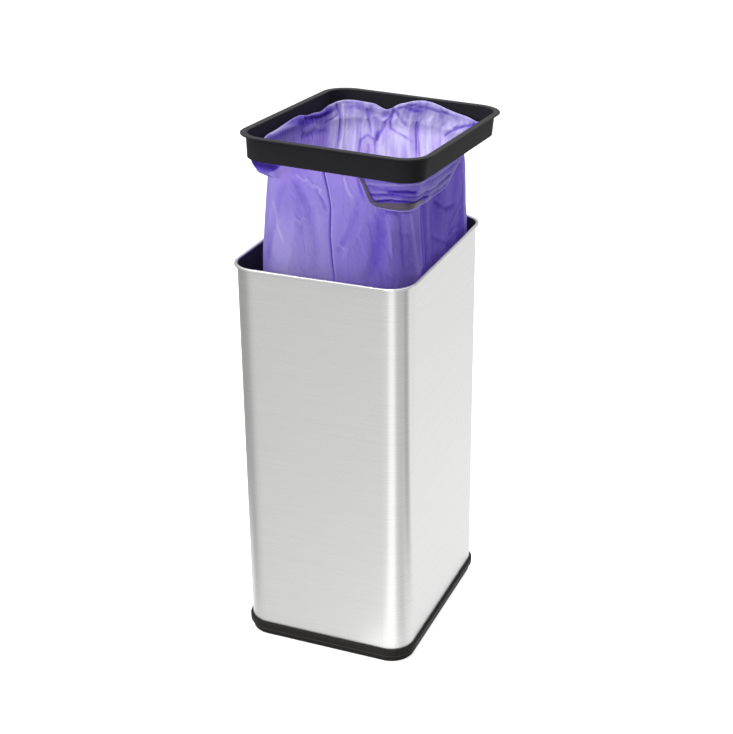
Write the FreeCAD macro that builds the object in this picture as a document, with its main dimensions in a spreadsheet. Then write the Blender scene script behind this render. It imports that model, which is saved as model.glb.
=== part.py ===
import FreeCAD
import Part
import Sketcher
import functools
import math
import os

# A tall trash can: a folded steel sleeve with a rolled rim, a two-tier plastic
# base, and a bag ring lifted out of the can with a film bag hung in it.
# The origin is the middle of the can's footprint on the floor. +Z is up and
# -Y is the can's wide face.

Vector = FreeCAD.Vector
doc = FreeCAD.newDocument("TrashCan")

# Driving dimensions in millimetres and degrees
SIZES = {
    # steel sleeve
    "body_width": 265.0,
    "body_depth": 322.0,
    "corner_radius": 36.0,
    "rim_height": 606.0,
    "sheet_thickness": 0.6,
    "bead_radius": 2.5,
    "curl_end": -115.0,
    # base moulding
    "lower_tier_height": 10.0,
    "lower_tier_inset": 0.7,
    "groove_height": 1.6,
    "groove_depth": 2.0,
    "upper_tier_height": 10.9,
    "upper_tier_reach": 4.0,
    "tier_top_bevel": 1.6,
    "tier_bevel": 1.2,
    "base_wall": 4.5,
    "channel_gap": 0.3,
    "channel_depth": 7.5,
    "seat_height": 3.0,
    "plate_rise": 2.0,
    "plate_thickness": 2.5,
    "rib_thickness": 2.0,
    "rib_clearance": 0.4,
    "cross_rib_spacing": 110.0,
    "long_rib_spacing": 62.0,
    # foot pads
    "pad_radius": 13.0,
    "pad_proud": 1.0,
    "pad_corner_inset": 34.0,
    # screws through the base into the floor pan
    "screw_radius": 2.0,
    "screw_gap": 0.2,
    "screw_bite": 0.05,
    "screw_length": 12.8,
    "head_radius": 3.8,
    "head_height": 2.4,
    "head_recess": 5.5,
    "boss_radius": 7.0,
    "screw_inset_x": 21.0,
    "screw_inset_y": 95.0,
    # steel floor pan
    "pan_thickness": 0.8,
    "pan_flange_height": 12.0,
    "pan_gap": 0.2,
    "pan_bend": 1.2,
    "panel_margin": 30.0,
    "panel_rise": 3.5,
    # bag ring
    "ring_width": 277.0,
    "ring_depth": 334.0,
    "ring_corner_radius": 42.0,
    "flange_reach": 7.6,
    "flange_thickness": 2.4,
    "ring_bevel": 0.7,
    "skirt_height": 34.45,
    "skirt_draft": 2.0,
    "ring_wall": 2.0,
    "ring_shift_x": 28.88,
    "ring_shift_y": -13.57,
    "ring_lift": 184.32,
    "ring_yaw": -1.498,
    "ring_pitch": 1.346,
    "ring_roll": -2.327,
    # film bag and its tape
    "film_thickness": 1.0,
    "film_gap": 0.4,
    "sewing_gap": 0.001,
    "fold_half_width": 2.2,
    "fold_drop": 16.0,
    "fold_standoff": 7.0,
    "tucked_hem_drop": 27.0,
    "front_cuff_reach": 50.0,
    "corner_cuff_reach": 22.0,
    "cuff_tip_reach": 9.0,
    "cuff_pull": 0.28,
    "cuff_tuck": 12.0,
    "throat_drop": 38.0,
    "throat_inset": 19.4,
    "throat_radius": 55.0,
    "throat_shift_x": -9.5,
    "throat_shift_y": 3.0,
    "bag_side_gap": 15.4,
    "bag_end_gap": 21.4,
    "bag_radius": 43.0,
    "bag_shift_x": 10.0,
    "bag_shift_y": -2.5,
    "bag_floor_gap": 0.3,
    "bag_foot_radius": 26.0,
    "gather_depth": 2.6,
    "tape_width": 12.0,
    "tape_thickness": 0.5,
    "tape_hem_margin": 4.0,
    "tape_pocket": 17.0,
    "tape_start_angle": 292.5,
    "tape_end_angle": 345.0,
}

sheet = doc.addObject("Spreadsheet::Sheet", "Sizes")
for row, (alias, number) in enumerate(SIZES.items(), 1):
    sheet.set(f"A{row}", alias.replace("_", " "))
    sheet.set(f"B{row}", str(number))
    sheet.setAlias(f"B{row}", alias)
doc.recompute()


def named(expression):
    """The expression with every size's name led by the sheet's name."""
    words = expression.split()
    return " ".join("Sizes." + word if word in SIZES else word for word in words)


@functools.lru_cache(maxsize=None)
def value(expression):
    """The number that an expression of the sheet's sizes gives."""
    return float(sheet.evalExpression(named(expression)))


def bind(target, prop, expression):
    target.setExpression(prop, named(expression))


# Heights and half sizes that several pieces share
BASE_FOOT = "pad_proud"
GROOVE_FOOT = f"{BASE_FOOT} + lower_tier_height"
UPPER_FOOT = f"{GROOVE_FOOT} + groove_height"
BASE_TOP = f"{UPPER_FOOT} + upper_tier_height"
SLEEVE_FOOT = f"{BASE_TOP} - channel_depth"
PAN_FOOT = f"{SLEEVE_FOOT} + seat_height"
PLATE_FOOT = f"{BASE_FOOT} + plate_rise"
PLATE_TOP = f"{PLATE_FOOT} + plate_thickness"
PAN_FLOOR = f"{PAN_FOOT} + pan_thickness"
HALF_X = "body_width / 2"
HALF_Y = "body_depth / 2"
CORNER = "corner_radius"
# the plate and its ribs run a little into the wall so that they are one piece
PLATE_INSET = "lower_tier_inset + base_wall * 3 / 4"
PAN_INSET = "sheet_thickness + pan_gap"
PAD_X = f"{HALF_X} - pad_corner_inset"
PAD_Y = f"{HALF_Y} - pad_corner_inset"
SCREW_X = f"{HALF_X} - screw_inset_x"
SCREW_Y = f"{HALF_Y} - screw_inset_y"


def new_body(name):
    body = doc.addObject("PartDesign::Body", name)
    body.Label = name
    return body


def new_sketch(body, name, role, height="0"):
    """A sketch on one of the body's own origin planes, raised by height."""
    sketch = body.newObject("Sketcher::SketchObject", name)
    plane = next(item for item in body.Origin.OriginFeatures if item.Role == role)
    sketch.AttachmentSupport = [(plane, "")]
    sketch.MapMode = "FlatFace"
    if height != "0":
        bind(sketch, "AttachmentOffset.Base.z", height)
    return sketch


def rule(sketch, kind, *items):
    sketch.addConstraint(Sketcher.Constraint(kind, *items))


def measure(sketch, kind, expression, *items):
    """A dimension of the sketch that follows the sheet."""
    index = sketch.addConstraint(Sketcher.Constraint(kind, *items, value(expression)))
    bind(sketch, f"Constraints[{index}]", expression)


def pin(sketch, geometry, point, across, along):
    """Holds one point of the sketch at its distances from the origin."""
    measure(sketch, "DistanceX", across, -1, 1, geometry, point)
    measure(sketch, "DistanceY", along, -1, 1, geometry, point)


def rounded_loop(body, name, half_x, half_y, radius, height="0"):
    """A rounded rectangle that starts at the middle of its +X side."""
    sketch = new_sketch(body, name, "XY_Plane", height)
    a, b, r = value(half_x), value(half_y), value(radius)
    sides = [
        ((a, 0), (a, b - r)),
        ((a - r, b), (r - a, b)),
        ((-a, b - r), (-a, r - b)),
        ((r - a, -b), (a - r, -b)),
        ((a, r - b), (a, 0)),
    ]
    centres = [(a - r, b - r), (r - a, b - r), (r - a, r - b), (a - r, r - b)]
    chain = []
    for index, (start, end) in enumerate(sides):
        chain.append(sketch.addGeometry(Part.LineSegment(Vector(*start), Vector(*end))))
        if index < len(centres):
            circle = Part.Circle(Vector(*centres[index]), Vector(0, 0, 1), r)
            quarter = math.pi / 2
            arc = Part.ArcOfCircle(circle, index * quarter, (index + 1) * quarter)
            chain.append(sketch.addGeometry(arc))
    for first, second in zip(chain, chain[1:]):
        rule(sketch, "Tangent", first, 2, second, 1)
    rule(sketch, "Coincident", chain[-1], 2, chain[0], 1)
    for index, kind in enumerate(["Vertical", "Horizontal", "Vertical", "Horizontal", "Vertical"]):
        rule(sketch, kind, chain[2 * index])
    for index in (3, 5, 7):
        rule(sketch, "Equal", chain[1], chain[index])
    measure(sketch, "Radius", radius, chain[1])
    measure(sketch, "DistanceX", half_x, -1, 1, chain[0], 1)
    measure(sketch, "DistanceY", half_y, -1, 1, chain[2], 1)
    measure(sketch, "DistanceX", half_x, chain[4], 1, -1, 1)
    measure(sketch, "DistanceY", half_y, chain[6], 1, -1, 1)
    rule(sketch, "PointOnObject", chain[0], 1, -1)
    return sketch


def polygon_profile(body, name, corners):
    """A closed upright section, each corner given as its X and Z."""
    sketch = new_sketch(body, name, "XZ_Plane")
    points = [Vector(value(across), value(up)) for across, up in corners]
    following = points[1:] + points[:1]
    lines = [sketch.addGeometry(Part.LineSegment(p, q)) for p, q in zip(points, following)]
    for first, second in zip(lines, lines[1:] + lines[:1]):
        rule(sketch, "Coincident", first, 2, second, 1)
    for line, (across, up) in zip(lines, corners):
        pin(sketch, line, 1, across, up)
    return sketch


def circles(body, name, centres, radius, height):
    """Equal circles at the given centres."""
    sketch = new_sketch(body, name, "XY_Plane", height)
    for across, along in centres:
        middle = Vector(value(across), value(along))
        circle = sketch.addGeometry(Part.Circle(middle, Vector(0, 0, 1), value(radius)))
        pin(sketch, circle, 3, across, along)
        measure(sketch, "Radius", radius, circle)
    return sketch


def four_corners(across, along):
    """The same place in each quarter of the footprint."""
    signs = [(1, 1), (-1, 1), (-1, -1), (1, -1)]
    return [(f"{x} * ( {across} )", f"{y} * ( {along} )") for x, y in signs]


def pipe(body, name, profile, path):
    sweep = body.newObject("PartDesign::AdditivePipe", name)
    sweep.Profile = profile
    sweep.Spine = (path, [])
    sweep.Mode = "Standard"
    return sweep


def pad(body, name, sketch, length):
    feature = body.newObject("PartDesign::Pad", name)
    feature.Profile = sketch
    bind(feature, "Length", length)
    return feature


def pocket(body, name, sketch, length, upward):
    """A cut that must take material away, or the model is wrong."""
    doc.recompute()
    before = body.Shape.Volume
    feature = body.newObject("PartDesign::Pocket", name)
    feature.Profile = sketch
    feature.Reversed = upward
    bind(feature, "Length", length)
    doc.recompute()
    if body.Shape.Volume >= before:
        raise RuntimeError(f"{name} cuts nothing")
    return feature


def edges_on_loop(shape, level, half_x, half_y, radius):
    """Names of the edges that run along a rounded rectangle at one height."""
    near = 0.05
    found = []
    for index, edge in enumerate(shape.Edges, 1):
        first, last = edge.ParameterRange
        points = [edge.valueAt(first + share * (last - first)) for share in (0.2, 0.5, 0.8)]
        if all(abs(p.z - level) < near and abs(loop_distance(p, half_x, half_y, radius)) < near
               for p in points):
            found.append(f"Edge{index}")
    return found


def loop_distance(point, half_x, half_y, radius):
    """How far a point lies outside a rounded rectangle."""
    dx = abs(point.x) - (half_x - radius)
    dy = abs(point.y) - (half_y - radius)
    if dx > 0 and dy > 0:
        return math.hypot(dx, dy) - radius
    return max(dx, dy) - radius


def bevel_loops(body, name, size, loops):
    """Bevels edge loops, each given as its height and its rounded rectangle."""
    doc.recompute()
    base = body.Tip
    names = []
    for level, half_x, half_y, radius in loops:
        found = edges_on_loop(base.Shape, value(level), value(half_x), value(half_y), value(radius))
        if not found:
            raise RuntimeError(f"{name} finds no edge at {level}")
        names += found
    feature = body.newObject("PartDesign::Chamfer", name)
    feature.Base = (base, names)
    bind(feature, "Size", size)
    return feature


def sleeve_loop(inset):
    """Half sizes and corner radius of the sleeve's outline, moved in by inset."""
    return (f"{HALF_X} - ( {inset} )", f"{HALF_Y} - ( {inset} )", f"{CORNER} - ( {inset} )")


def curl_corners(radius, chords):
    """Points round the rolled bead, from the sheet's wall over the top to the lip."""
    middle_x = f"{HALF_X} - sheet_thickness + bead_radius"
    middle_z = "rim_height - bead_radius"
    corners = []
    for step in range(chords + 1):
        angle = f"180 - ( 180 - curl_end ) * {step} / {chords}"
        corners.append((f"{middle_x} + ( {radius} ) * cos( {angle} )",
                        f"{middle_z} + ( {radius} ) * sin( {angle} )"))
    return corners


def curl_profile(body):
    """The sleeve's section: a flat sheet whose top is rolled outward into a bead."""
    outside = curl_corners("bead_radius", 12)
    inside = curl_corners("bead_radius - sheet_thickness", 6)
    foot = [(HALF_X, SLEEVE_FOOT), (f"{HALF_X} - sheet_thickness", SLEEVE_FOOT)]
    return polygon_profile(body, "SheetSection", outside + inside[::-1] + foot)


def make_steel_body():
    body = new_body("steel_body")
    path = rounded_loop(body, "SheetOutline", HALF_X, HALF_Y, CORNER)
    pipe(body, "RolledSleeve", curl_profile(body), path)
    return body


def make_base_moulding():
    """Two tiers with a groove between them, a channel for the sheet and a ribbed plate."""
    body = new_body("base_moulding")
    path = rounded_loop(body, "BaseOutline", HALF_X, HALF_Y, CORNER)
    lower = f"{HALF_X} - lower_tier_inset"
    groove = f"{HALF_X} - lower_tier_inset - groove_depth"
    upper = f"{HALF_X} + upper_tier_reach"
    channel_out = f"{HALF_X} + channel_gap"
    channel_in = f"{HALF_X} - sheet_thickness - channel_gap"
    inside = f"{HALF_X} - lower_tier_inset - base_wall"
    section = polygon_profile(body, "TierSection", [
        (lower, BASE_FOOT),
        (lower, GROOVE_FOOT),
        (groove, GROOVE_FOOT),
        (groove, UPPER_FOOT),
        (upper, UPPER_FOOT),
        (upper, BASE_TOP),
        (channel_out, BASE_TOP),
        (channel_out, SLEEVE_FOOT),
        (channel_in, SLEEVE_FOOT),
        (channel_in, PAN_FOOT),
        (inside, PAN_FOOT),
        (inside, BASE_FOOT),
    ])
    pipe(body, "Tiers", section, path)
    upper_loop = sleeve_loop("-1 * upper_tier_reach")
    bevel_loops(body, "TopBevel", "tier_top_bevel", [(BASE_TOP, *upper_loop)])
    bevel_loops(body, "TierBevels", "tier_bevel",
                [(UPPER_FOOT, *upper_loop), (BASE_FOOT, *sleeve_loop("lower_tier_inset"))])
    add_base_plate(body)
    add_ribs(body)
    add_screw_bosses(body)
    return body


def add_base_plate(body):
    plate = rounded_loop(body, "PlateOutline", *sleeve_loop(PLATE_INSET), PLATE_FOOT)
    pad(body, "Plate", plate, "plate_thickness")


def rib(body, name, corner, far_corner):
    """One rib from the plate up to just under the floor pan."""
    sketch = new_sketch(body, name + "Outline", "XY_Plane", PLATE_TOP)
    xs = [corner[0], far_corner[0], far_corner[0], corner[0]]
    ys = [corner[1], corner[1], far_corner[1], far_corner[1]]
    points = [Vector(value(x), value(y)) for x, y in zip(xs, ys)]
    lines = [sketch.addGeometry(Part.LineSegment(p, q))
             for p, q in zip(points, points[1:] + points[:1])]
    for first, second in zip(lines, lines[1:] + lines[:1]):
        rule(sketch, "Coincident", first, 2, second, 1)
    for line, x, y in zip(lines, xs, ys):
        pin(sketch, line, 1, x, y)
    height = f"{PAN_FOOT} - ( {PLATE_TOP} ) - rib_clearance"
    return pad(body, name, sketch, height)


def repeat(body, name, feature, role, length):
    """Three copies of a rib, evenly spaced along one of the body's axes."""
    doc.recompute()
    pattern = body.newObject("PartDesign::LinearPattern", name)
    pattern.Originals = [feature]
    axis = next(item for item in body.Origin.OriginFeatures if item.Role == role)
    pattern.Direction = (axis, [""])
    pattern.Occurrences = 3
    bind(pattern, "Length", length)
    body.Tip = pattern
    return pattern


def add_ribs(body):
    reach_x = f"( {HALF_X} - ( {PLATE_INSET} ) )"
    reach_y = f"( {HALF_Y} - ( {PLATE_INSET} ) )"
    cross = rib(body, "CrossRib",
                (f"-1 * {reach_x}", "-1 * cross_rib_spacing - rib_thickness / 2"),
                (reach_x, "-1 * cross_rib_spacing + rib_thickness / 2"))
    repeat(body, "CrossRibs", cross, "Y_Axis", "2 * cross_rib_spacing")
    along = rib(body, "LongRib",
                ("-1 * long_rib_spacing - rib_thickness / 2", f"-1 * {reach_y}"),
                ("-1 * long_rib_spacing + rib_thickness / 2", reach_y))
    repeat(body, "LongRibs", along, "X_Axis", "2 * long_rib_spacing")


def add_screw_bosses(body):
    """Bosses up to the pan, a through hole in each and a recess for the head below."""
    places = four_corners(SCREW_X, SCREW_Y)
    boss_height = f"{PAN_FOOT} - ( {PLATE_FOOT} )"
    pad(body, "Bosses", circles(body, "BossOutlines", places, "boss_radius", PLATE_FOOT),
        boss_height)
    hole_radius = "screw_radius + screw_gap"
    pocket(body, "ScrewHoles", circles(body, "HoleOutlines", places, hole_radius, PLATE_FOOT),
           boss_height, True)
    recess_radius = "head_radius + screw_gap"
    pocket(body, "HeadRecesses", circles(body, "RecessOutlines", places, recess_radius, PLATE_FOOT),
           "head_recess", True)


def make_floor_pan():
    """A shallow steel tray with a raised panel, screwed to the base."""
    body = new_body("floor_pan")
    outer = sleeve_loop(PAN_INSET)
    inner = sleeve_loop(f"{PAN_INSET} + pan_thickness")
    panel = sleeve_loop("panel_margin")
    hollow = sleeve_loop("panel_margin + pan_thickness")
    pad(body, "Tray", rounded_loop(body, "TrayOutline", *outer, PAN_FOOT), "pan_flange_height")
    pocket(body, "TrayInside", rounded_loop(body, "TrayInsideOutline", *inner, PAN_FLOOR),
           "pan_flange_height", True)
    bevel_loops(body, "TrayBend", "pan_bend", [(PAN_FOOT, *outer)])
    pad(body, "Panel", rounded_loop(body, "PanelOutline", *panel, PAN_FLOOR), "panel_rise")
    pocket(body, "PanelInside", rounded_loop(body, "PanelInsideOutline", *hollow, PAN_FOOT),
           "panel_rise", True)
    bevel_loops(body, "PanelBend", "pan_bend", [(f"{PAN_FLOOR} + panel_rise", *panel)])
    places = four_corners(SCREW_X, SCREW_Y)
    hole = circles(body, "PanHoleOutlines", places, "screw_radius + screw_bite", PAN_FOOT)
    pocket(body, "PanHoles", hole, "pan_thickness", True)
    return body


def disc(name, radius, height, place, foot):
    """An upright cylinder with its foot at one height."""
    cylinder = doc.addObject("Part::Cylinder", name)
    bind(cylinder, "Radius", radius)
    bind(cylinder, "Height", height)
    for axis, expression in zip("xyz", (*place, foot)):
        bind(cylinder, f"Placement.Base.{axis}", expression)
    return cylinder


def group(name, pieces):
    """Equal pieces kept together as one sub-part."""
    compound = doc.addObject("Part::Compound", name)
    compound.Label = name
    compound.Links = pieces
    return compound


def make_foot_pads():
    """Four rubber discs stuck under the base's plate, a little proud of its foot."""
    places = four_corners(PAD_X, PAD_Y)
    return group("foot_pads", [disc(f"Pad{index}", "pad_radius", PLATE_FOOT, place, "0")
                               for index, place in enumerate(places, 1)])


def make_base_screws():
    """Four equal screws, heads down in their recesses."""
    head_foot = f"{PLATE_FOOT} + head_recess - head_height"
    screws = []
    for index, place in enumerate(four_corners(SCREW_X, SCREW_Y), 1):
        screw = doc.addObject("Part::Fuse", f"Screw{index}")
        screw.Base = disc(f"Head{index}", "head_radius", "head_height", place, head_foot)
        screw.Tool = disc(f"Shank{index}", "screw_radius", "screw_length + head_height", place,
                          head_foot)
        screws.append(screw)
    return group("base_screws", screws)


def ring_loop(inset):
    return (f"ring_width / 2 - ( {inset} )", f"ring_depth / 2 - ( {inset} )",
            f"ring_corner_radius - ( {inset} )")


def make_bag_ring():
    """A thin flange with a drafted skirt, its top plane at the body's own origin."""
    body = new_body("bag_ring")
    path = rounded_loop(body, "FlangeOutline", *ring_loop("0"))
    edge = "ring_width / 2"
    section = polygon_profile(body, "RingSection", [
        (edge, "0"),
        (f"{edge} - flange_reach - ring_wall", "0"),
        (f"{edge} - flange_reach - ring_wall - skirt_draft", "-1 * skirt_height"),
        (f"{edge} - flange_reach - skirt_draft", "-1 * skirt_height"),
        (f"{edge} - flange_reach", "-1 * flange_thickness"),
        (edge, "-1 * flange_thickness"),
    ])
    pipe(body, "Ring", section, path)
    wall = "flange_reach + ring_wall"
    bevel_loops(body, "FlangeBevels", "ring_bevel", [
        ("0", *ring_loop("0")),
        ("-1 * flange_thickness", *ring_loop("0")),
        ("0", *ring_loop(wall)),
        ("-1 * skirt_height", *ring_loop("flange_reach + skirt_draft")),
    ])
    bind(body, "Placement", "create(<<placement>>; create(<<vector>>; ring_shift_x ; ring_shift_y ;"
         " rim_height + ring_lift ); create(<<rotation>>; ring_yaw ; ring_pitch ; ring_roll ))")
    return body


def ring_pose():
    """Where the lifted ring's top plane lies and how it is tilted."""
    base = Vector(value("ring_shift_x"), value("ring_shift_y"), value("rim_height + ring_lift"))
    turn = FreeCAD.Rotation(value("ring_yaw"), value("ring_pitch"), value("ring_roll"))
    return FreeCAD.Placement(base, turn)


def bump(angle, centre, half_width):
    """A smooth hump over the angle, 1 at its centre and 0 beyond its half width."""
    away = abs((angle - centre + 180) % 360 - 180)
    return math.cos(math.pi / 2 * away / half_width) ** 2 if away < half_width else 0.0


def stretch(angle, start, end, ramp_in, ramp_out):
    """A smooth plateau over the angle, half way up at start and at end."""
    middle, half = (start + end) / 2, (end - start) / 2
    away = (angle - middle + 180) % 360 - 180
    rising = min(max((away + half) / ramp_in + 0.5, 0), 1)
    falling = min(max((half - away) / ramp_out + 0.5, 0), 1)
    return rising * rising * (3 - 2 * rising) * falling * falling * (3 - 2 * falling)


# Where the fold of the bag's mouth rises (angle, half width, height): the film
# stands high at the back, dips at a pinch beside it and sags across the corners
FOLD_WAVES = [
    (84, 24, 13.5),
    (106.5, 8, -6.5),
    (124, 14, 2.0),
    (147, 10, -3.0),
    (180, 34, 5.0),
    (48, 14, -5.0),
    (290, 60, 3.0),
]
# Where the fold stands off the ring's wall (angle, half width, distance)
FOLD_STANDOFF = [
    (50, 16, 13.0),
    (230, 16, 9.0),
    (128, 20, 5.0),
    (147, 10, 3.0),
]
# The gathers round the bag (count, phase, share of the gather depth)
GATHERS = [
    (9, 0.6, 0.6),
    (14, 2.1, 0.4),
]
FILM_COLUMNS = 48


def fold_drop(angle):
    """Depth of the mouth's fold below the ring's top plane."""
    return value("fold_drop") - sum(size * bump(angle, at, wide) for at, wide, size in FOLD_WAVES)


def fold_inset(angle):
    """Distance of the fold from the ring's inner wall."""
    return value("fold_standoff") + sum(size * bump(angle, at, wide)
                                        for at, wide, size in FOLD_STANDOFF)


def hem_drop(angle):
    """Depth of the hem: tucked up inside the skirt, apart from the cuffs that hang out."""
    front_cuff = stretch(angle, 290, 370, 8, 28)
    corner_cuff = stretch(angle, 212, 252, 16, 8)
    return (value("tucked_hem_drop") + value("front_cuff_reach") * front_cuff
            + value("corner_cuff_reach") * corner_cuff
            + value("cuff_tip_reach") * bump(angle, 234.5, 5))


def gather(angle):
    """The film's ripple, as a share of the gather depth."""
    turn = math.radians(angle)
    return sum(share * math.sin(count * turn + phase) for count, phase, share in GATHERS)


def loop_reach(angle, half_x, half_y, radius):
    """Distance from the middle to a rounded rectangle, along one direction."""
    turn = math.radians(angle)
    across, along = abs(math.cos(turn)), abs(math.sin(turn))
    centre_x, centre_y = half_x - radius, half_y - radius
    if half_x * along <= centre_y * across:
        return half_x / across
    if half_y * across <= centre_x * along:
        return half_y / along
    toward = across * centre_x + along * centre_y
    spare = centre_x ** 2 + centre_y ** 2 - radius ** 2
    return toward + math.sqrt(toward ** 2 - spare)


def polar(angle, reach, height, shift_x=0.0, shift_y=0.0):
    turn = math.radians(angle)
    return Vector(shift_x + reach * math.cos(turn), shift_y + reach * math.sin(turn), height)


def ring_point(angle, drop, inset):
    """A point at a depth in the ring and at a distance from its inner wall."""
    draft = value("skirt_draft") * min(max(drop / value("skirt_height"), 0), 1)
    off = value("flange_reach + ring_wall") + draft + inset
    half_x = value("ring_width / 2") - off
    half_y = value("ring_depth / 2") - off
    radius = max(value("ring_corner_radius") - off, half_x / 10)
    return polar(angle, loop_reach(angle, half_x, half_y, radius), -drop)


def cuff_inset(angle, drop):
    """The cuff hugs the ring's wall, is drawn in below the skirt and tucks under at one corner."""
    hanging = max(drop - value("skirt_height"), 0)
    tuck = bump(angle, 231, 25) * hanging / value("cuff_tuck")
    return value("film_gap + film_thickness / 2") + hanging * value("cuff_pull") * (1 + tuck)


def cuff_rows(angle, pose):
    """Hem to fold: the outer layer of the folded mouth."""
    top, inset = fold_drop(angle), fold_inset(angle)
    turn = value("fold_half_width")
    bottom = hem_drop(angle)
    span = bottom - top - 2 * turn
    rows = []
    for share in (0.0, min(value("tape_pocket") / span, 0.3), 0.6, 0.85):
        drop = bottom - span * share
        bend = share ** 3
        off = cuff_inset(angle, drop) * (1 - bend) + (inset - turn) * bend
        rows.append(pose.multVec(ring_point(angle, drop, off)))
    rows.append(pose.multVec(ring_point(angle, top, inset - turn)))
    rows.append(pose.multVec(ring_point(angle, top, inset + turn)))
    return rows


def throat_point(angle, pose):
    """The bag's neck where it leaves the ring."""
    off = value("flange_reach + ring_wall + skirt_draft + throat_inset")
    reach = loop_reach(angle, value("ring_width / 2") - off, value("ring_depth / 2") - off,
                       value("throat_radius"))
    reach += gather(angle) * value("gather_depth") * 0.7
    return pose.multVec(polar(angle, reach, -value("throat_drop"), value("throat_shift_x"),
                              value("throat_shift_y")))


def bag_point(angle, height, inset, ripple):
    """A point of the bag's body inside the can."""
    half_x = value(f"{HALF_X} - sheet_thickness - bag_side_gap") - inset
    half_y = value(f"{HALF_Y} - sheet_thickness - bag_end_gap") - inset
    reach = loop_reach(angle, half_x, half_y, value("bag_radius") - inset / 2)
    reach += gather(angle) * value("gather_depth") * ripple
    rise = (height - BAG_FOOT) / (value("rim_height") - BAG_FOOT)
    return polar(angle, reach, height, value("bag_shift_x") * rise, value("bag_shift_y") * rise)


BAG_FOOT = value(f"{PAN_FLOOR} + panel_rise + bag_floor_gap + film_thickness / 2")


def film_column(angle, pose):
    """The film's middle surface at one angle, from the hem to the bag's foot."""
    column = cuff_rows(angle, pose)
    lip = pose.multVec(ring_point(angle, fold_drop(angle) + 3 * value("fold_half_width"),
                                  fold_inset(angle) + 1.5 * value("fold_half_width")))
    throat = throat_point(angle, pose)
    column += [lip, lip * 0.4 + throat * 0.6, throat]
    rim = bag_point(angle, value("rim_height"), 0, 1.0)
    column += [throat * (1 - share) + rim * share for share in (0.3, 0.65, 1.0)]
    corner = value("bag_foot_radius")
    height = value("rim_height") - BAG_FOOT
    for share, ripple in ((0.6, 0.9), (0.25, 0.7)):
        column.append(bag_point(angle, BAG_FOOT + height * share, 0, ripple))
    column.append(bag_point(angle, BAG_FOOT + corner, 0, 0.3))
    column.append(bag_point(angle, BAG_FOOT, corner / 4, 0.0))
    column.append(bag_point(angle, BAG_FOOT, corner * 1.6, 0.0))
    return column


def film_normal(columns, index, row):
    """Outward direction of the film at one point of its grid."""
    last = len(columns[0]) - 1
    if row == last:
        return Vector(0, 0, -1)
    around = columns[(index + 1) % len(columns)][row] - columns[index - 1][row]
    down = columns[index][min(row + 1, last)] - columns[index][max(row - 1, 0)]
    return down.cross(around).normalize()


def strip_facets(count, rows, closed_around, closed_across):
    """Triangles between neighbouring columns of a grid of points, two to each cell."""
    facets = []
    for index in range(count if closed_around else count - 1):
        here, there = index * rows, (index + 1) % count * rows
        for row in range(rows if closed_across else rows - 1):
            below = (row + 1) % rows
            facets.append((here + row, there + row, there + below))
            facets.append((here + row, there + below, here + below))
    return facets


def faceted_solid(name, points, facets):
    """One solid bounded by flat triangles that share their edges."""
    shell = Part.Shape()
    shell.makeShapeFromMesh((points, facets), value("sewing_gap"), True)
    solid = Part.makeSolid(shell)
    if solid.Volume < 0:
        solid.reverse()
    feature = doc.addObject("Part::Feature", name)
    feature.Label = name
    feature.Shape = solid
    feature.Placement = FreeCAD.Placement()
    return feature


def film_grid():
    """The film's middle surface and its outward direction, column by column."""
    pose = ring_pose()
    columns = [film_column(360 * index / FILM_COLUMNS, pose) for index in range(FILM_COLUMNS)]
    normals = [[film_normal(columns, index, row) for row in range(len(column))]
               for index, column in enumerate(columns)]
    return columns, normals


def off_film(column, normal, distance):
    """The column of points moved off the film's middle surface."""
    return [point + away * distance for point, away in zip(column, normal)]


def make_liner_bag():
    """The film as one closed wall: outside from the foot up to the hem, inside back down."""
    half = value("film_thickness / 2")
    points = []
    for column, normal in zip(*film_grid()):
        points += off_film(column, normal, half)[::-1] + off_film(column, normal, -half)
    rows = len(points) // FILM_COLUMNS
    facets = strip_facets(FILM_COLUMNS, rows, True, False)
    for row, step in ((0, 1), (rows - 1, -1)):
        rim = [index * rows + row for index in range(FILM_COLUMNS)][::step]
        points.append(sum((points[corner] for corner in rim), Vector()) * (1 / FILM_COLUMNS))
        facets += [(here, there, len(points) - 1) for here, there in zip(rim, rim[1:] + rim[:1])]
    return faceted_solid("liner_bag", points, facets)


def tape_section(column, normal):
    """The tape's thin section behind the cuff, a little above the hem."""
    near = value("film_thickness / 2 + film_gap")
    hem, pocket_top = 0, 1
    reach = value("tape_pocket")
    section = []
    low, high = value("tape_hem_margin"), value("tape_hem_margin + tape_width")
    for distance, order in ((near, (high, low)), (near + value("tape_thickness"), (low, high))):
        edge = off_film(column[:2], normal[:2], distance)
        section += [edge[hem] + (edge[pocket_top] - edge[hem]) * (rise / reach) for rise in order]
    return section


def make_drawtape():
    """The part of the tape that runs in the front cuff, from the slit round to the side."""
    first, last = (round(value(word) * FILM_COLUMNS / 360) for word in ("tape_start_angle", "tape_end_angle"))
    columns, normals = film_grid()
    points = []
    for index in range(first, last + 1):
        points += tape_section(columns[index % FILM_COLUMNS], normals[index % FILM_COLUMNS])
    around = len(points) // (last - first + 1)
    facets = strip_facets(last - first + 1, around, False, True)
    for start, step in ((0, 1), (len(points) - around, -1)):
        end = list(range(start, start + around))[::step]
        facets += [(end[0], end[1], end[2]), (end[0], end[2], end[3])]
    return faceted_solid("drawtape", points, facets)


def check_document():
    """Stops if any object failed or any sub-part is empty or invalid."""
    for item in doc.Objects:
        if "Invalid" in item.State or "Error" in item.State:
            raise RuntimeError(f"{item.Name} failed: {item.State}")


def export(piece):
    shape = piece.Shape
    if shape.isNull() or not shape.isValid() or shape.Volume <= 0:
        raise RuntimeError(f"{piece.Label} has no valid solid")
    shape.exportStep(f"parts/{piece.Label}.step")
    print(piece.Label, len(shape.Solids), round(shape.Volume / 1000, 2), "cm3")


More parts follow.
